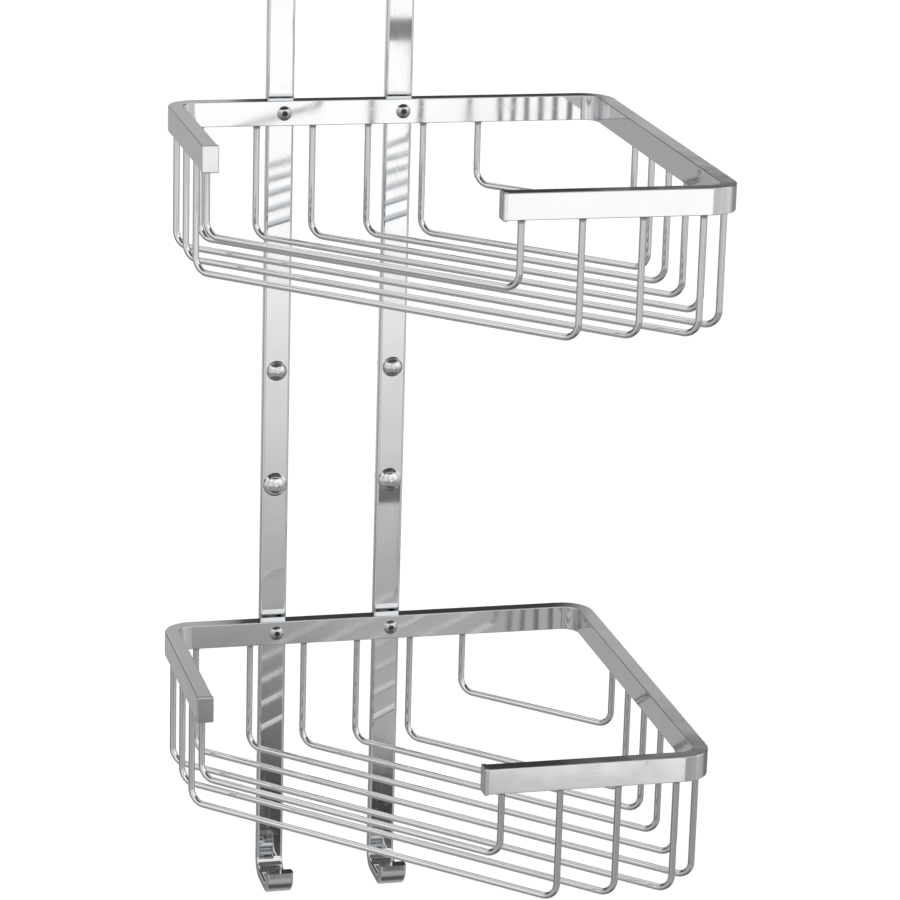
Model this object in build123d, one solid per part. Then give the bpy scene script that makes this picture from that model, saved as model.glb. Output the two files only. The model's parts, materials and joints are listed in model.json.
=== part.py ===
from build123d import *
import os

# Two-tier corner shower caddy. Two flat rails hook over the top edge of a shower screen and end
# in open J hooks. Two identical corner baskets are screwed to the rails. Millimetres, +Z up,
# -Y towards the person in the shower. The origin is midway between the two screen hooks, on the
# surface that sits on the screen's top edge.

# ---- driving dimensions -------------------------------------------------------------------
WIRE_PITCH = 30.0            # spacing of the wire legs along the rim
RIM_SIDE = 7.75 * WIRE_PITCH  # back and right runs of the rim, on its centre line
RIM_RETURN = 3.76 * WIRE_PITCH  # left and front runs, from the corner to the free end
RIM_HEIGHT = 13.2
RIM_THICKNESS = 8.0
RIM_WALL = 1.2
RIM_EDGE_RADIUS = 0.4
RIM_CORNER_RADIUS = 12.0     # on the centre line

WIRE_DIAMETER = 3.4
WIRE_BEND_RADIUS = 8.0       # on the centre line
FLOOR_DEPTH = 73.0           # top of the rim down to the floor wires' centre line
GUARD_DEPTH = 47.5           # top of the rim down to the guard wires' centre line
FLOOR_OFFSETS = (4.5, 3.5, 2.5, 1.5, 0.5, -0.5, -1.5, -2.5)  # pitches from the B-E diagonal
BACK_GUARD_OFFSET = 5.5
FRONT_GUARD_OFFSET = -3.5

RAIL_WIDTH = 14.6
RAIL_THICKNESS = 6.0
RAIL_EDGE_RADIUS = 1.4
RAIL_END_RADIUS = 0.6
RAIL_SPACING = 64.0
RAIL_FROM_CORNER = 59.0      # left rail's centre to the rim's left run
RAIL_BEND_RADIUS = 8.0       # on the centre line, at the screen hook and the J hook
HOOK_DROP = 26.0             # screen hook's rear leg, below the seat
J_REACH = 32.0               # rail's front face to the lip's front face
J_LIP_HEIGHT = 14.0

SCREEN_GAP = 12.0            # thickest screen that the lined hook takes
LINER_TOP = 2.0
LINER_BACK = 2.0
LINER_DROP = 20.0
BUMPER_THICKNESS = 4.0       # the liner's front wall is as thick, so the rails hang plumb
BUMPER_DIAMETER = 13.0
BUMPER_EDGE_RADIUS = 0.8

RIM_BELOW_SEAT = 78.0        # seat down to the upper rim's top edge
TIER_DROP = 289.0            # upper rim to lower rim
UPPER_BUMPER_DROP = 149.5    # upper rim's top edge down to the upper bumper screws
BUMPER_PITCH = 64.0
RAIL_BELOW_RIM = 443.0       # upper rim's top edge down to the underside of the J hooks

SPACER_DIAMETER = 10.0
SPACER_THICKNESS = 2.7
RIM_SCREW_RADIUS = 2.0
RIM_SCREW_HEAD_RADIUS = 3.9
RIM_SCREW_HEAD_HEIGHT = 1.8
HEX_SOCKET_SIZE = 3.0
HEX_SOCKET_DEPTH = 1.4
DOME_SCREW_RADIUS = 2.5
DOME_HEAD_RADIUS = 5.6
DOME_HEAD_HEIGHT = 3.6
CUP_RADIUS = 6.6
CUP_HEIGHT = 2.2
CUP_SEAT_RADIUS = 4.6
CUP_BORE_RADIUS = 2.6
CUP_FLOOR = 0.3              # washer's thickness at its bore
CUP_LIP = 0.4
CUP_HEAD_CROWN = 1.4
BUMPER_SCREW_GRIP = 3.0      # screw length inside the bumper
CLEARANCE = 0.1
THREAD_FIT = 0.02            # radial gap that stands for a tight thread

CAP_THICKNESS = 2.2
CAP_PROUD = 0.4
CAP_TONGUE = 8.0
CAP_EDGE_RADIUS = 0.6

# ---- places worked out from them ----------------------------------------------------------
RAIL_BACK_Y = -SCREEN_GAP / 2 - BUMPER_THICKNESS
RAIL_FRONT_Y = RAIL_BACK_Y - RAIL_THICKNESS
RAIL_Y = RAIL_BACK_Y - RAIL_THICKNESS / 2
RIM_BACK_Y = RAIL_FRONT_Y - SPACER_THICKNESS
RIM_FRONT_Y = RIM_BACK_Y - RIM_THICKNESS
RIM_Y = RIM_BACK_Y - RIM_THICKNESS / 2
CORNER_X = -RAIL_FROM_CORNER - RAIL_SPACING / 2
RAIL_XS = (-RAIL_SPACING / 2, RAIL_SPACING / 2)
UPPER_TOP_Z = -RIM_BELOW_SEAT
LOWER_TOP_Z = UPPER_TOP_Z - TIER_DROP
UPPER_BUMPER_Z = UPPER_TOP_Z - UPPER_BUMPER_DROP
LOWER_BUMPER_Z = UPPER_BUMPER_Z - BUMPER_PITCH
HOOK_REAR_Y = SCREEN_GAP / 2 + LINER_BACK + RAIL_THICKNESS / 2
HOOK_TOP_Z = LINER_TOP + RAIL_THICKNESS / 2
J_BOTTOM_Z = UPPER_TOP_Z - RAIL_BELOW_RIM + RAIL_THICKNESS / 2
J_LIP_Y = RAIL_FRONT_Y - J_REACH + RAIL_THICKNESS / 2
J_TIP_Z = UPPER_TOP_Z - RAIL_BELOW_RIM + J_LIP_HEIGHT
TIERS = {"upper": UPPER_TOP_Z, "lower": LOWER_TOP_Z}


def facing_front(x, y, z):
    """A plane at the point whose normal points at the person in the shower."""
    return Plane(origin=(x, y, z), x_dir=(1, 0, 0), z_dir=(0, -1, 0))


def rod(x, front_y, z, radius, length):
    """A round bar that starts at front_y and runs back, towards the screen."""
    return extrude(facing_front(x, front_y, z) * Circle(radius), -length)


def swept(path, section):
    """The section carried along the path, square to its start."""
    start = Plane(origin=path @ 0, z_dir=path % 0, x_dir=section_x(path))
    return sweep(start * section, path)


def section_x(path):
    """The section's first direction: +X on a path that starts upright, else level."""
    tangent = path % 0
    if abs(tangent.Z) > 0.5:
        return (1, 0, 0)
    return (tangent.Y, -tangent.X, 0)


def rim_path(top_z):
    """Centre line of the rim: left run, back run, right run and front run."""
    z = top_z - RIM_HEIGHT / 2
    right_x, front_y = CORNER_X + RIM_SIDE, RIM_Y - RIM_SIDE
    return FilletPolyline(
        (CORNER_X, RIM_Y - RIM_RETURN, z),
        (CORNER_X, RIM_Y, z),
        (right_x, RIM_Y, z),
        (right_x, front_y, z),
        (right_x - RIM_RETURN, front_y, z),
        radius=RIM_CORNER_RADIUS,
    )


def make_rim(top_z):
    """Rectangular tube bent round the basket, drilled for its two rail screws."""
    path = rim_path(top_z)
    rim = swept(path, RectangleRounded(RIM_THICKNESS, RIM_HEIGHT, RIM_EDGE_RADIUS))
    bore = swept(path, Rectangle(RIM_THICKNESS - 2 * RIM_WALL, RIM_HEIGHT - 2 * RIM_WALL))
    rim -= bore
    for x in RAIL_XS:
        drill = RIM_SCREW_RADIUS + CLEARANCE
        rim -= rod(x, RIM_FRONT_Y - 1, top_z - RIM_HEIGHT / 2, drill, RIM_THICKNESS + 2)
    return rim


def make_rim_cap(end, outward):
    """Plug for one open end of the rim tube: a slightly larger plate with a tongue."""
    plane = Plane(origin=end, z_dir=outward, x_dir=(outward[1], -outward[0], 0))
    plate = extrude(
        plane * RectangleRounded(
            RIM_THICKNESS + 2 * CAP_PROUD, RIM_HEIGHT + 2 * CAP_PROUD, RIM_EDGE_RADIUS + CAP_PROUD
        ),
        CAP_THICKNESS,
    )
    outer_edges = plate.faces().sort_by(Axis(end, outward))[-1].edges()
    plate = fillet(outer_edges, CAP_EDGE_RADIUS)
    inset = 2 * (RIM_WALL + CLEARANCE)
    tongue = extrude(plane * Rectangle(RIM_THICKNESS - inset, RIM_HEIGHT - inset), -CAP_TONGUE)
    return plate + tongue


def wire_ends(offset):
    """Plan positions of a wire's two legs, for its offset from the B-E diagonal."""
    shift = offset * WIRE_PITCH
    right_x, front_y = CORNER_X + RIM_SIDE, RIM_Y - RIM_SIDE
    if offset > 0:
        return (CORNER_X + shift, RIM_Y), (right_x, front_y + shift)
    return (CORNER_X, RIM_Y + shift), (right_x + shift, front_y)


def make_wire(offset, top_z, depth):
    """A U of round wire: its two legs are butt-welded to the rim's underside."""
    (x1, y1), (x2, y2) = wire_ends(offset)
    high, low = top_z - RIM_HEIGHT, top_z - depth
    path = FilletPolyline(
        (x1, y1, high), (x1, y1, low), (x2, y2, low), (x2, y2, high), radius=WIRE_BEND_RADIUS
    )
    return swept(path, Circle(WIRE_DIAMETER / 2))


def make_rail(x):
    """Flat bar bent into a screen hook at the top and an open J hook at the bottom."""
    path = FilletPolyline(
        (x, HOOK_REAR_Y, -HOOK_DROP),
        (x, HOOK_REAR_Y, HOOK_TOP_Z),
        (x, RAIL_Y, HOOK_TOP_Z),
        (x, RAIL_Y, J_BOTTOM_Z),
        (x, J_LIP_Y, J_BOTTOM_Z),
        (x, J_LIP_Y, J_TIP_Z),
        radius=RAIL_BEND_RADIUS,
    )
    rail = swept(path, RectangleRounded(RAIL_WIDTH, RAIL_THICKNESS, RAIL_EDGE_RADIUS))
    lip_end = rail.faces().filter_by(Plane.XY).sort_by(Axis.Z)[-1]
    hook_end = rail.faces().filter_by(Plane.XY).sort_by(Axis.Y)[-1]
    rail = fillet(lip_end.edges() + hook_end.edges(), RAIL_END_RADIUS)
    for z in (UPPER_TOP_Z - RIM_HEIGHT / 2, LOWER_TOP_Z - RIM_HEIGHT / 2):
        rail -= rod(x, RAIL_FRONT_Y - 1, z, RIM_SCREW_RADIUS + THREAD_FIT, RAIL_THICKNESS + 2)
    for z in (UPPER_BUMPER_Z, LOWER_BUMPER_Z):
        rail -= rod(x, RAIL_FRONT_Y - 1, z, DOME_SCREW_RADIUS + CLEARANCE, RAIL_THICKNESS + 2)
    return rail


def make_hook_liner(x):
    """Soft saddle inside the screen hook. Its front wall is as thick as a bumper."""
    inner_bend = RAIL_BEND_RADIUS - RAIL_THICKNESS / 2
    front, back = RAIL_BACK_Y, HOOK_REAR_Y - RAIL_THICKNESS / 2
    profile = Plane.YZ * Rectangle(back - front, LINER_TOP + LINER_DROP, align=(Align.MIN, Align.MAX))
    profile = Pos(0, front, LINER_TOP) * profile
    profile = fillet(profile.vertices().sort_by(Axis.Z)[-2:], inner_bend)
    slot = Plane.YZ * Rectangle(SCREEN_GAP, 2 * LINER_DROP, align=(Align.CENTER, Align.MAX))
    liner = extrude(profile - slot, RAIL_WIDTH - 1, dir=(1, 0, 0))
    return Pos(x - (RAIL_WIDTH - 1) / 2, 0, 0) * liner


def turned(x, face_y, z, *outline):
    """A round piece from half its outline: radius, then height in front of face_y."""
    piece = revolve(Plane.XZ * make_face(outline), Axis.Z)
    return facing_front(x, face_y, z) * piece


def crown(radius, base, height):
    """Arc of a domed head, from its top on the axis down to its rim."""
    return TangentArc((0, base + height), (radius, base), tangent=(1, 0))


def make_rim_screw(x, z):
    """Button-head socket screw: through the rim and the spacer, threaded into the rail."""
    length = RIM_THICKNESS + SPACER_THICKNESS + RAIL_THICKNESS
    shank = Polyline(
        (RIM_SCREW_HEAD_RADIUS, 0), (RIM_SCREW_RADIUS, 0), (RIM_SCREW_RADIUS, -length),
        (0, -length), (0, RIM_SCREW_HEAD_HEIGHT),
    )
    head = crown(RIM_SCREW_HEAD_RADIUS, 0, RIM_SCREW_HEAD_HEIGHT)
    screw = turned(x, RIM_FRONT_Y, z, shank, head)
    hexagon = RegularPolygon(HEX_SOCKET_SIZE / 2, 6, major_radius=False)
    socket = facing_front(x, RIM_FRONT_Y - RIM_SCREW_HEAD_HEIGHT, z) * hexagon
    return screw - extrude(socket, -HEX_SOCKET_DEPTH)


def make_dome_screw(x, z):
    """Plain dome-headed screw that holds a bumper on the back of the rail."""
    length = RAIL_THICKNESS + BUMPER_SCREW_GRIP
    shank = Polyline(
        (DOME_HEAD_RADIUS, 0), (DOME_SCREW_RADIUS, 0), (DOME_SCREW_RADIUS, -length),
        (0, -length), (0, DOME_HEAD_HEIGHT),
    )
    return turned(x, RAIL_FRONT_Y, z, shank, crown(DOME_HEAD_RADIUS, 0, DOME_HEAD_HEIGHT))


def make_cup_washer(x, z):
    """Raised finishing washer with a conical seat."""
    ring = Polyline(
        (CUP_BORE_RADIUS, CUP_FLOOR),
        (CUP_BORE_RADIUS, 0),
        (CUP_RADIUS, 0),
        (CUP_RADIUS - CUP_LIP, CUP_HEIGHT / 2),
        (CUP_SEAT_RADIUS + CUP_LIP, CUP_HEIGHT),
        (CUP_SEAT_RADIUS, CUP_HEIGHT),
        (CUP_BORE_RADIUS, CUP_FLOOR),
    )
    return turned(x, RAIL_FRONT_Y, z, ring)


def make_raised_screw(x, z):
    """Raised countersunk screw that sits in a cup washer."""
    length = RAIL_THICKNESS + BUMPER_SCREW_GRIP
    head_radius = CUP_SEAT_RADIUS - CLEARANCE
    shank = Polyline(
        (head_radius, CUP_HEIGHT),
        (DOME_SCREW_RADIUS, CUP_FLOOR),
        (DOME_SCREW_RADIUS, -length),
        (0, -length),
        (0, CUP_HEIGHT + CUP_HEAD_CROWN),
    )
    return turned(x, RAIL_FRONT_Y, z, shank, crown(head_radius, CUP_HEIGHT, CUP_HEAD_CROWN))


def make_bumper(x, z):
    """Soft round pad between the rail and the screen, with a blind hole for its screw."""
    bumper = rod(x, RAIL_BACK_Y, z, BUMPER_DIAMETER / 2, BUMPER_THICKNESS)
    rear_edge = bumper.edges().sort_by(Axis.Y)[-1]
    bumper = fillet(rear_edge, BUMPER_EDGE_RADIUS)
    return bumper - rod(x, RAIL_BACK_Y, z, DOME_SCREW_RADIUS + THREAD_FIT, BUMPER_SCREW_GRIP)


def make_spacer(x, z):
    """Washer that holds the rim clear of the rail."""
    ring = rod(x, RIM_BACK_Y, z, SPACER_DIAMETER / 2, SPACER_THICKNESS)
    return ring - rod(x, RIM_BACK_Y, z, RIM_SCREW_RADIUS + CLEARANCE, SPACER_THICKNESS)


def on_both_rails(make, z):
    """The same small piece on the left and the right rail, as separate solids of one node."""
    return Compound(children=[make(x, z).solid() for x in RAIL_XS])


def basket_nodes(tier, top_z):
    """Every node of one basket, by name."""
    right_x, front_y = CORNER_X + RIM_SIDE, RIM_Y - RIM_SIDE
    middle = top_z - RIM_HEIGHT / 2
    nodes = {
        f"{tier}_rim": make_rim(top_z),
        f"{tier}_rim_left_cap": make_rim_cap((CORNER_X, RIM_Y - RIM_RETURN, middle), (0, -1, 0)),
        f"{tier}_rim_front_cap": make_rim_cap((right_x - RIM_RETURN, front_y, middle), (-1, 0, 0)),
        f"{tier}_back_guard_wire": make_wire(BACK_GUARD_OFFSET, top_z, GUARD_DEPTH),
        f"{tier}_front_guard_wire": make_wire(FRONT_GUARD_OFFSET, top_z, GUARD_DEPTH),
        f"{tier}_rim_screws": on_both_rails(make_rim_screw, middle),
        f"{tier}_rim_spacers": on_both_rails(make_spacer, middle),
    }
    for number, offset in enumerate(FLOOR_OFFSETS, start=1):
        nodes[f"{tier}_floor_wire_{number}"] = make_wire(offset, top_z, FLOOR_DEPTH)
    return nodes


nodes = {
    "left_rail": make_rail(RAIL_XS[0]),
    "right_rail": make_rail(RAIL_XS[1]),
    "left_hook_liner": make_hook_liner(RAIL_XS[0]),
    "right_hook_liner": make_hook_liner(RAIL_XS[1]),
    "upper_bumper_screws": on_both_rails(make_dome_screw, UPPER_BUMPER_Z),
    "lower_bumper_screws": on_both_rails(make_raised_screw, LOWER_BUMPER_Z),
    "lower_cup_washers": on_both_rails(make_cup_washer, LOWER_BUMPER_Z),
    "upper_bumpers": on_both_rails(make_bumper, UPPER_BUMPER_Z),
    "lower_bumpers": on_both_rails(make_bumper, LOWER_BUMPER_Z),
}
for tier_name, tier_top in TIERS.items():
    nodes.update(basket_nodes(tier_name, tier_top))

os.makedirs("parts", exist_ok=True)
for node_name, shape in nodes.items():
    export_step(shape, f"parts/{node_name}.step")
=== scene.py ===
import bpy
import bmesh
import json
import math
import random
from collections import namedtuple
from mathutils import Matrix, Vector


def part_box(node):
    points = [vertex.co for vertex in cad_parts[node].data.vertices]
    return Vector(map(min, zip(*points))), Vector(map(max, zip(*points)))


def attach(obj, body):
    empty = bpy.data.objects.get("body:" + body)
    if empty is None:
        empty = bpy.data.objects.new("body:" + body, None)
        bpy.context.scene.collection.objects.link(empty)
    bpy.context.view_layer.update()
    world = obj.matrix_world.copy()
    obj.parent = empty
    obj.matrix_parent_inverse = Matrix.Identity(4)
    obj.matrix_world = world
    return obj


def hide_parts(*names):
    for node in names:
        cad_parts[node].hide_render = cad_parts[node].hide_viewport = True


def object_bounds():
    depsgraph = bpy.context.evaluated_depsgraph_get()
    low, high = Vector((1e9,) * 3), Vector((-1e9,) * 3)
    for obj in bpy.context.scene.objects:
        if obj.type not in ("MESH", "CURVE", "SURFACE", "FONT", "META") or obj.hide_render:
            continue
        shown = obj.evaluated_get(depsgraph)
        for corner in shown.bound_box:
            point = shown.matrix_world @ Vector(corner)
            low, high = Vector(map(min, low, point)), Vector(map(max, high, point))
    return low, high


# Looks for the two-tier corner shower caddy. Metres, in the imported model's frame: +Z up the rails,
# -Y towards the person in the shower.

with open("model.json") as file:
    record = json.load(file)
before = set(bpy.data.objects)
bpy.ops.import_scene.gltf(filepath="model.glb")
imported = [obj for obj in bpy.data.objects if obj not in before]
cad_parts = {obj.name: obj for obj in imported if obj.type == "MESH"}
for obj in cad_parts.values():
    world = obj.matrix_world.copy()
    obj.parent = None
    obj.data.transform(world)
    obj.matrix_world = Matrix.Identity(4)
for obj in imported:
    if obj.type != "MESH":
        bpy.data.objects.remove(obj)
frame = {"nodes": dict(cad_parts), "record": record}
cad_box = [list(corner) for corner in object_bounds()]

TIERS = ("upper", "lower")

# ---- camera -------------------------------------------------------------------------------
CAMERA_AZIMUTH = math.radians(14.18)   # to the left of straight on
CAMERA_ELEVATION = math.radians(16.44)
CAMERA_ROLL = math.radians(1.665)
CAMERA_DISTANCE = 1.9573
CAMERA_LENS = 142.99                   # mm, on a sensor 36 mm wide
SENSOR_WIDTH = 36.0
CLIP_START = 0.05
CLIP_END = 400
AIM_FROM_RIM = Vector((0.1591, -0.0030, -0.1964))  # from the upper rim's left back top corner

# ---- floor --------------------------------------------------------------------------------
FLOOR_DROP = 0.42                      # below the J hooks
FLOOR_SIZE = 160.0
FLOOR_TONE = 0.9
FLOOR_GLOW = 0.52

# ---- room that the chrome mirrors ---------------------------------------------------------
# Angles are in degrees. Elevation is up from level. Azimuth turns from -Y towards +X, and azimuth
# behind turns from +Y towards +X. Walls and cards are (elevation, grey level) pairs. A patch of
# the room has four angles each way: where it starts, is full, begins to fade and is gone.
FRONT_WALL = (
    (-90, 0.25), (-80, 0.10), (-62, 0.10), (-52, 0.38), (-24, 0.48), (-16, 0.80), (-10, 0.95),
    (-4, 1.0), (10, 1.1), (30, 1.3), (36, 1.0), (42, 0.10), (82, 0.08), (90, 0.3))
BACK_WALL = (
    (-90, 0.30), (-60, 0.42), (-45, 0.40), (-24, 0.22), (-14, 0.40), (-8, 0.44), (2, 0.36),
    (7, 0.06), (26, 0.04), (34, 0.5), (46, 1.15), (66, 1.15), (90, 0.6))
WALLS_MEET = (-0.25, 0.35)             # in the direction's y, from all front to all back
UNEVEN_SCALE = 1.7
UNEVEN_LEVELS = (0.80, 1.22)
NOISE_SPREAD = (0.35, 0.65)            # where most of a noise's values lie

LOW_FRONT = (-23.3, -23.1, -8.5, -7.0)
FLAG_AZIMUTH = (2, 7, 13.8, 14.5)      # in front of the rails, dark at the bottom
FLAG = (
    (-26, 0.02), (-22.5, 0.03), (-21.8, 0.07), (-21.2, 0.20), (-20.2, 0.30), (-19.4, 0.44),
    (-18.8, 0.52), (-17.6, 0.66), (-16.4, 0.84), (-15.0, 1.0), (-13.8, 1.16), (-12.8, 1.42),
    (-8, 1.42))
FLAG_STEP_FROM = (12.0, 12.6)          # a step on the flag's right, at one level
FLAG_STEP_ELEVATION = (-21.5, -21.2, -19.5, -18.0)
FLAG_STEP_LEVEL = 0.54
CARD_AZIMUTH = (13.8, 14.5, 22, 27)    # to the right of the flag
CARD = (
    (-26, 0.45), (-22.4, 0.50), (-21.9, 0.62), (-21.7, 0.80), (-21.45, 1.1), (-21.0, 1.3),
    (-20.6, 0.9), (-20.2, 0.52), (-19.0, 0.50), (-18.0, 0.62), (-16.5, 0.9), (-13.5, 1.35),
    (-8, 1.4))

LOW_BEHIND = (-34, -27, -8, -5)
BEHIND_LEFT_AZIMUTH = (-40, -24, -8, -2)
BEHIND_LEFT_LEVEL = 0.46
STRIP_AZIMUTH = (-14.3, -13.8, -11.0, -10.6)
STRIP = (
    (-26, 0.12), (-21, 0.30), (-19, 0.34), (-17.6, 0.45), (-16.2, 0.57), (-13, 0.62),
    (-11, 0.75), (-8, 0.95))

PANEL_ELEVATION = (3, 7, 24, 30)       # two pale panels behind, above level
PANEL_LEVEL = 0.52
LEFT_PANEL_AZIMUTH = (-6, 4, 10.3, 10.8)
RIGHT_PANEL_AZIMUTH = (16.2, 16.6, 24, 34)
RIGHT_PANEL_ELEVATIONS = ((5, 9, 11.8, 12.0), (12.9, 13.3, 20.95, 21.05))
GAP_AZIMUTH = (9.8, 10.6, 14.0, 14.8)  # dark gap in front, above level
GAP_ELEVATION = (21.5, 22.3, 24.3, 25.0)
GAP_LEVEL = 0.04

# ---- chrome -------------------------------------------------------------------------------
# A layer is noise stretched from low..high to 0..1, which adds roughness and takes away tone.
Layer = namedtuple("Layer", "scale detail grain low high roughness dimming")
HAZE = Layer(scale=38, detail=3, grain=0.55, low=0.35, high=0.75, roughness=0.035, dimming=0.025)
POLISH = Layer(scale=900, detail=3, grain=0.6, low=0.52, high=0.80, roughness=0.035, dimming=0.0)
SMUDGES = Layer(scale=150, detail=4, grain=0.65, low=0.58, high=0.78, roughness=0.05, dimming=0.03)
POLISH_HEIGHT = 0.0000007
WAVE_SCALE = 62
WAVE_HEIGHT = 0.000022
LAY_ALONG_Z = (1.0, 1.0, 0.02)         # how the polishing lines are stretched
LAY_ALONG_XY = (0.02, 0.02, 1.0)
NO_LAY = (1.0, 1.0, 1.0)

# ---- wires --------------------------------------------------------------------------------
WIRE_RADIUS = 0.0017
WIRE_BEND = 0.008                      # on the centre line
RING_SEGMENTS = 28
BEND_STEPS = 14
WELD_REACH = 0.0021                    # weld flash, down the wire from the rim
WELD_GROWTH = 0.00075                  # extra radius where it meets the rim
WELD_LUMPS = 0.06                      # share of the radius
WELD_STEPS = 7
STAIN_REACH = 1.3 * WELD_REACH         # down the wire from the rim
STAIN_OVERLAP = 0.0005                 # above the rim's underside
STAIN_ROUGHNESS = 0.16
STAIN_DIMMING = 0.22
SCALE_GRAIN = 1500
SCALE_HEIGHT = 0.00005

# ---- rim screws, with painted shade in their sockets --------------------------------------
SOCKET_RADIUS = 0.0016
SOCKET_FULL_SHADE_SHARE = 0.9                     # share of the radius that is painted fully dark, as the socket's shade
SOCKET_ROUGHNESS = 0.35
# painted shade: how much the socket's colour is darkened to stand in for the shade inside it
SOCKET_PAINTED_SHADE = 0.85

# ---- silicone and nylon -------------------------------------------------------------------
MOTTLE_SCALE = 160
MOTTLE_TONES = (1.03, 0.95)
GRAIN_ROUGHNESS = 0.12
GLOW_DEPTH = 0.002


def make_camera():
    """A long lens, to the left of the caddy and a little above it."""
    rim_low, rim_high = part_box("upper_rim")
    aim = Vector((rim_low.x, rim_high.y, rim_high.z)) + AIM_FROM_RIM
    sin_az, cos_az = math.sin(CAMERA_AZIMUTH), math.cos(CAMERA_AZIMUTH)
    sin_el, cos_el = math.sin(CAMERA_ELEVATION), math.cos(CAMERA_ELEVATION)
    forward = Vector((sin_az * cos_el, cos_az * cos_el, -sin_el))
    level_right = Vector((cos_az, -sin_az, 0))
    level_up = level_right.cross(forward)
    sin_roll, cos_roll = math.sin(CAMERA_ROLL), math.cos(CAMERA_ROLL)
    right = cos_roll * level_right + sin_roll * level_up
    up = cos_roll * level_up - sin_roll * level_right
    data = bpy.data.cameras.new("camera")
    data.lens = CAMERA_LENS
    data.sensor_width = SENSOR_WIDTH
    data.clip_start, data.clip_end = CLIP_START, CLIP_END
    camera = bpy.data.objects.new("camera", data)
    bpy.context.scene.collection.objects.link(camera)
    turn = Matrix((right, up, -forward)).transposed()
    camera.matrix_world = Matrix.Translation(aim - forward * CAMERA_DISTANCE) @ turn.to_4x4()
    bpy.context.scene.camera = camera


# ---- node trees ---------------------------------------------------------------------------
class Tree:
    """Adds nodes to a node tree. Inputs are numbers, colours or the outputs of other nodes."""

    def __init__(self, tree):
        self.tree = tree

    def add(self, kind, inputs=None, **settings):
        made = self.tree.nodes.new(kind)
        for name, value in settings.items():
            setattr(made, name, value)
        for name, value in (inputs or {}).items():
            self.plug(made, name, value)
        return made

    def plug(self, node, name, value):
        if isinstance(value, bpy.types.NodeSocket):
            self.tree.links.new(value, node.inputs[name])
        else:
            node.inputs[name].default_value = value

    def calc(self, operation, *values):
        return self.add("ShaderNodeMath", dict(enumerate(values)), operation=operation).outputs[0]

    def plus(self, a, b):
        return self.calc("ADD", a, b)

    def minus(self, a, b):
        return self.calc("SUBTRACT", a, b)

    def times(self, a, b):
        return self.calc("MULTIPLY", a, b)

    def mix(self, factor, a, b):
        return self.plus(self.times(self.minus(b, a), factor), a)

    def span(self, value, low, high, to_low=0.0, to_high=1.0, smooth=True):
        """value from low..high to to_low..to_high, held at the ends."""
        made = self.add("ShaderNodeMapRange", interpolation_type="SMOOTHSTEP" if smooth else "LINEAR")
        for index, number in enumerate((value, low, high, to_low, to_high)):
            self.plug(made, index, number)
        return made.outputs[0]

    def window(self, value, places):
        """Rises from 0 to 1 over the first two places and falls back to 0 over the last two."""
        start, full, fading, gone = places
        return self.times(self.span(value, start, full), self.span(value, fading, gone, 1.0, 0.0))

    def curve(self, value, pairs):
        """Straight lines through (value, level) pairs. Levels may pass 1."""
        low, high = pairs[0][0], pairs[-1][0]
        top = max(level for _, level in pairs)
        made = self.add("ShaderNodeValToRGB", {0: self.span(value, low, high, smooth=False)})
        elements = made.color_ramp.elements
        while len(elements) < len(pairs):
            elements.new(0.5)
        for element, (place, level) in zip(elements, pairs):
            grey = level / top
            element.position = (place - low) / (high - low)
            element.color = (grey, grey, grey, 1)
        return self.times(made.outputs[0], top)

    def noise(self, vector, scale, detail, grain):
        inputs = {"Vector": vector, "Scale": scale, "Detail": detail, "Roughness": grain}
        return self.add("ShaderNodeTexNoise", inputs).outputs[0]

    def split(self, vector):
        return self.add("ShaderNodeSeparateXYZ", {0: vector}).outputs

    def tint(self, color, tone):
        return self.add("ShaderNodeVectorMath", {0: color, "Scale": tone}, operation="SCALE").outputs[0]

    def bump(self, height):
        inputs = {"Height": height, "Strength": 1.0, "Distance": 1.0}
        return self.add("ShaderNodeBump", inputs).outputs[0]


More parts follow.
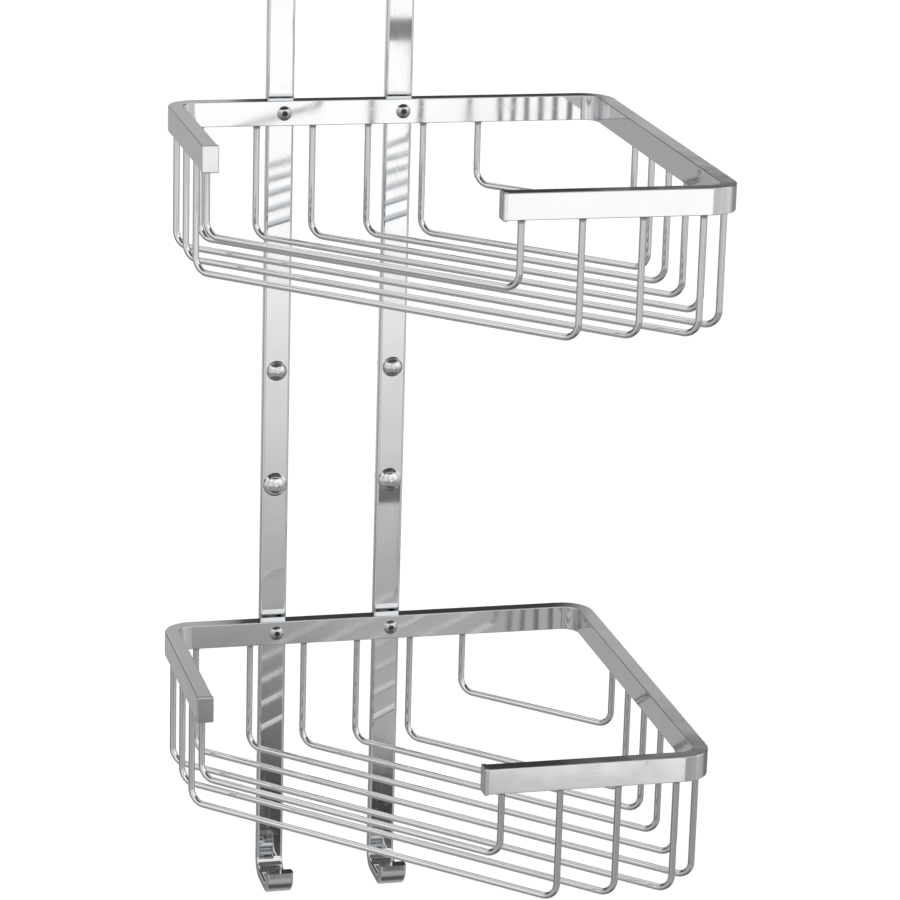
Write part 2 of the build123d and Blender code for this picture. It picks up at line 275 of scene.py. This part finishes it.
# ---- studio -------------------------------------------------------------------------------
def make_world():
    """Soft white room: bright above and in front, with a dim wall behind and a dim lower front."""
    world = bpy.data.worlds.new("studio")
    world.use_nodes = True
    world.node_tree.nodes.clear()
    t = Tree(world.node_tree)
    direction = t.add("ShaderNodeTexCoord").outputs["Generated"]
    x, y, z = t.split(direction)
    to_degrees = 180 / math.pi
    elevation = t.times(t.calc("ARCSINE", z), to_degrees)
    azimuth = t.times(t.calc("ARCTAN2", x, t.times(y, -1)), to_degrees)
    behind = t.times(t.calc("ARCTAN2", x, y), to_degrees)

    front, back = t.curve(elevation, FRONT_WALL), t.curve(elevation, BACK_WALL)
    uneven = t.span(t.noise(direction, UNEVEN_SCALE, 1, 0.5), *NOISE_SPREAD, *UNEVEN_LEVELS)
    level = t.times(t.mix(t.span(y, *WALLS_MEET), front, back), uneven)

    low_front = t.window(elevation, LOW_FRONT)
    step = t.times(t.span(azimuth, *FLAG_STEP_FROM), t.window(elevation, FLAG_STEP_ELEVATION))
    flag = t.mix(step, t.curve(elevation, FLAG), FLAG_STEP_LEVEL)
    level = t.mix(t.times(t.window(azimuth, FLAG_AZIMUTH), low_front), level, flag)
    card = t.curve(elevation, CARD)
    level = t.mix(t.times(t.window(azimuth, CARD_AZIMUTH), low_front), level, card)

    low_behind = t.window(elevation, LOW_BEHIND)
    behind_left = t.times(t.window(behind, BEHIND_LEFT_AZIMUTH), low_behind)
    level = t.mix(behind_left, level, BEHIND_LEFT_LEVEL)
    strip = t.curve(elevation, STRIP)
    level = t.mix(t.times(t.window(behind, STRIP_AZIMUTH), low_behind), level, strip)

    left_panel = t.window(behind, LEFT_PANEL_AZIMUTH)
    lower_half, upper_half = [t.window(elevation, places) for places in RIGHT_PANEL_ELEVATIONS]
    right_panel = t.times(t.window(behind, RIGHT_PANEL_AZIMUTH), t.plus(lower_half, upper_half))
    panels = t.times(t.calc("MAXIMUM", left_panel, right_panel), t.window(elevation, PANEL_ELEVATION))
    level = t.mix(panels, level, PANEL_LEVEL)
    gap = t.times(t.window(azimuth, GAP_AZIMUTH), t.window(elevation, GAP_ELEVATION))
    level = t.mix(gap, level, GAP_LEVEL)

    background = t.add("ShaderNodeBackground", {"Color": level, "Strength": 1.0})
    t.add("ShaderNodeOutputWorld", {"Surface": background.outputs[0]})
    bpy.context.scene.world = world
    bpy.context.scene.view_settings.view_transform = "Standard"


def make_floor():
    """Pale floor, well below the caddy, which hangs. The chrome doesn't pick it up."""
    mesh = bpy.data.meshes.new("floor")
    half, z = FLOOR_SIZE / 2, cad_box[0][2] - FLOOR_DROP
    corners = [(-half, -half, z), (half, -half, z), (half, half, z), (-half, half, z)]
    mesh.from_pydata(corners, [], [(0, 1, 2, 3)])
    floor = bpy.data.objects.new("floor", mesh)
    bpy.context.scene.collection.objects.link(floor)
    material, _, shader = new_material("pale_floor")
    shader.inputs["Base Color"].default_value = (FLOOR_TONE, FLOOR_TONE, FLOOR_TONE, 1)
    shader.inputs["Roughness"].default_value = 1.0
    shader.inputs["Specular IOR Level"].default_value = 0.0
    shader.inputs["Emission Color"].default_value = (1, 1, 1, 1)
    shader.inputs["Emission Strength"].default_value = FLOOR_GLOW
    mesh.materials.append(material)
    floor.visible_glossy = False


# ---- materials ----------------------------------------------------------------------------
def new_material(name):
    """A material, the tree to build on and its shader."""
    material = bpy.data.materials.new(name)
    material.use_nodes = True
    return material, Tree(material.node_tree), material.node_tree.nodes["Principled BSDF"]


def cool_grey(level):
    """Grey with a trace of blue."""
    return (level, level + 0.01, level + 0.02)


def chrome(name, level, roughness, lay=NO_LAY, weld_heights=(), sockets=()):
    """Plated metal: slow waves in the plating, polishing lines along lay, haze and smudges.

    weld_heights are heights with weld flash just below them. sockets are the (x, z) centres of
    screw sockets, which are rougher inside and get painted shade, darkened where the recess is shaded.
    """
    material, t, shader = new_material(name)
    place = t.add("ShaderNodeTexCoord").outputs["Object"]
    along = t.add("ShaderNodeMapping", {"Vector": place, "Scale": lay}).outputs[0]

    noises = {layer: t.noise(vector, layer.scale, layer.detail, layer.grain)
              for layer, vector in ((HAZE, place), (POLISH, along), (SMUDGES, place))}
    marks_and_painted_shade = [(t.span(noise, layer.low, layer.high), layer.roughness, layer.dimming)
             for layer, noise in noises.items()]
    waves = t.noise(place, WAVE_SCALE, 1, 0.4)
    height = t.plus(t.times(waves, WAVE_HEIGHT), t.times(noises[POLISH], POLISH_HEIGHT))
    if weld_heights:
        stain = stain_mask(t, place, weld_heights)
        scale = t.times(stain, t.noise(place, SCALE_GRAIN, 2, 0.6))
        height = t.plus(height, t.times(scale, SCALE_HEIGHT))
        marks_and_painted_shade.append((stain, STAIN_ROUGHNESS, STAIN_DIMMING))
    if sockets:
        # painted shade inside each screw socket, darkening the colour where the recess is shaded
        marks_and_painted_shade.append((socket_painted_shade_mask(t, place, sockets), SOCKET_ROUGHNESS, SOCKET_PAINTED_SHADE))

    tone = 1.0
    for mask, rougher, dimmer in marks_and_painted_shade:
        roughness = t.plus(roughness, t.times(mask, rougher))
        tone = t.minus(tone, t.times(mask, dimmer))
    t.plug(shader, "Base Color", t.tint(cool_grey(level), tone))
    t.plug(shader, "Roughness", roughness)
    t.plug(shader, "Normal", t.bump(height))
    shader.inputs["Metallic"].default_value = 1.0
    return material


def stain_mask(t, place, heights):
    """1 at each height, fading to 0 down the wire below it."""
    z = t.split(place)[2]
    total = 0.0
    for height in heights:
        below = t.minus(height, z)
        near = t.span(below, 0.0, STAIN_REACH, 1.0, 0.0)
        total = t.plus(total, t.times(near, t.calc("GREATER_THAN", below, -STAIN_OVERLAP)))
    return total


def socket_painted_shade_mask(t, place, centres):
    """Painted shade: 1 inside the socket round each (x, z) centre, seen from the front, where the
    recess is shaded.
    """
    x, _, z = t.split(place)
    total = 0.0
    for centre_x, centre_z in centres:
        away_x, away_z = t.minus(x, centre_x), t.minus(z, centre_z)
        distance = t.calc("SQRT", t.plus(t.times(away_x, away_x), t.times(away_z, away_z)))
        inside = t.span(distance, SOCKET_RADIUS * SOCKET_FULL_SHADE_SHARE, SOCKET_RADIUS, 1.0, 0.0)
        total = t.plus(total, inside)
    return total


def rim_screw_sockets():
    """(x, z) centres of the four sockets, where the painted shade goes."""
    centres = []
    for tier in TIERS:
        low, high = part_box(f"{tier}_rim_screws")
        head_radius = (high.z - low.z) / 2
        middle_z = high.z - head_radius
        centres += [(low.x + head_radius, middle_z), (high.x - head_radius, middle_z)]
    return centres


def soft_plastic(name, level, roughness, glow, grain_scale, grain_height):
    """Moulded silicone or nylon: faint mottling, a fine moulded grain and a little glow."""
    material, t, shader = new_material(name)
    place = t.add("ShaderNodeTexCoord").outputs["Object"]
    tone = t.span(t.noise(place, MOTTLE_SCALE, 3, 0.6), 0.3, 0.7, *MOTTLE_TONES)
    grain = t.noise(place, grain_scale, 2, 0.6)
    rough = t.plus(roughness, t.times(t.span(grain, *NOISE_SPREAD), GRAIN_ROUGHNESS))
    t.plug(shader, "Base Color", t.tint(cool_grey(level), tone))
    t.plug(shader, "Roughness", rough)
    t.plug(shader, "Normal", t.bump(t.times(grain, grain_height)))
    shader.inputs["Subsurface Weight"].default_value = glow
    shader.inputs["Subsurface Scale"].default_value = GLOW_DEPTH
    shader.inputs["Subsurface Radius"].default_value = (1.0, 1.0, 1.0)
    return material


def make_materials():
    """One material for each slot of the record, and one more for the rim screws: darker, rougher chrome
    with painted shade in the sockets.
    """
    undersides = [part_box(f"{tier}_rim")[0].z for tier in TIERS]
    return {
        "rail_chrome": chrome("rail_chrome", 0.70, 0.045, LAY_ALONG_Z),
        "rim_chrome": chrome("rim_chrome", 0.70, 0.045, LAY_ALONG_XY),
        "cap_chrome": chrome("cap_chrome", 0.62, 0.11),
        "wire_chrome": chrome("wire_chrome", 0.69, 0.06, weld_heights=undersides),
        "screw_chrome": chrome("screw_chrome", 0.64, 0.06),
        # rim screws: darker, rougher chrome, with painted shade inside the hex sockets
        "rim_screw": chrome("rim_screw_chrome_socket_shade", 0.50, 0.09, sockets=rim_screw_sockets()),
        "spacer": soft_plastic("spacer_nylon", 0.50, 0.50, 0.05, 2500, 0.000015),
        "bumper": soft_plastic("bumper_silicone", 0.60, 0.38, 0.25, 1800, 0.000010),
        "liner": soft_plastic("liner_silicone", 0.60, 0.42, 0.25, 1800, 0.000012),
    }


# ---- wires --------------------------------------------------------------------------------
def weld_profile():
    """(distance below the rim, extra radius) down a weld's flash."""
    for step in range(WELD_STEPS + 1):
        part = step / WELD_STEPS
        yield part * WELD_REACH, WELD_GROWTH * (1 - part) ** 2


def wire_leg(weld, across, floor_z):
    """Centre, tangent and radius of each ring, from the weld down and round the bend to across."""
    down = Vector((0, 0, -1))
    rings = [(weld + down * drop, down, WIRE_RADIUS + extra) for drop, extra in weld_profile()]
    hub = Vector((weld.x, weld.y, floor_z + WIRE_BEND)) + across * WIRE_BEND
    for step in range(BEND_STEPS + 1):
        angle = math.pi / 2 * step / BEND_STEPS
        centre = hub + (down * math.sin(angle) - across * math.cos(angle)) * WIRE_BEND
        tangent = down * math.cos(angle) + across * math.sin(angle)
        rings.append((centre, tangent, WIRE_RADIUS))
    return rings


def wire_rings(low, high):
    """The rings of a whole wire, from its back weld to its front weld."""
    back_weld = Vector((low.x + WIRE_RADIUS, high.y - WIRE_RADIUS, high.z))
    front_weld = Vector((high.x - WIRE_RADIUS, low.y + WIRE_RADIUS, high.z))
    across = (front_weld - back_weld).normalized()
    back_leg = wire_leg(back_weld, across, low.z + WIRE_RADIUS)
    front_leg = wire_leg(front_weld, -across, low.z + WIRE_RADIUS)
    return back_leg + [(centre, -tangent, radius) for centre, tangent, radius in reversed(front_leg)]


def make_wire(node, dice):
    """Smooth chromed wire with its weld flash, in place of the CAD node."""
    rings = wire_rings(*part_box(node))
    across = (rings[-1][0] - rings[0][0]).normalized()
    side = Vector((0, 0, 1)).cross(across)
    mesh = bmesh.new()
    loops = []
    for centre, tangent, radius in rings:
        other = side.cross(tangent)
        flash = (radius - WIRE_RADIUS) / WELD_GROWTH
        ring = []
        for segment in range(RING_SEGMENTS):
            turn = 2 * math.pi * segment / RING_SEGMENTS
            lump = 1 + dice.uniform(-WELD_LUMPS, WELD_LUMPS) * flash
            arm = (side * math.cos(turn) + other * math.sin(turn)) * radius * lump
            ring.append(mesh.verts.new(centre + arm))
        loops.append(ring)
    for before, after in zip(loops, loops[1:]):
        for segment in range(RING_SEGMENTS):
            following = (segment + 1) % RING_SEGMENTS
            face = mesh.faces.new(
                (before[segment], before[following], after[following], after[segment]))
            face.smooth = True
    mesh.faces.new(loops[0][::-1])
    mesh.faces.new(loops[-1])
    bmesh.ops.recalc_face_normals(mesh, faces=mesh.faces)
    data = bpy.data.meshes.new(f"{node}_welded")
    mesh.to_mesh(data)
    mesh.free()
    wire = bpy.data.objects.new(f"{node}_welded", data)
    bpy.context.scene.collection.objects.link(wire)
    data.materials.append(materials["wire_chrome"])
    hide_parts(node)
    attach(wire, "root")


make_camera()
make_world()
make_floor()
materials = make_materials()
slots = {part["node"]: part["material_slot"] for part in frame["record"]["subparts"]}
dice = random.Random(7)
for name in sorted(frame["nodes"]):
    if slots[name] == "wire_chrome":
        make_wire(name, dice)
    else:
        node = frame["nodes"][name]
        look = "rim_screw" if name.endswith("_rim_screws") else slots[name]
        node.data.materials.clear()
        node.data.materials.append(materials[look])
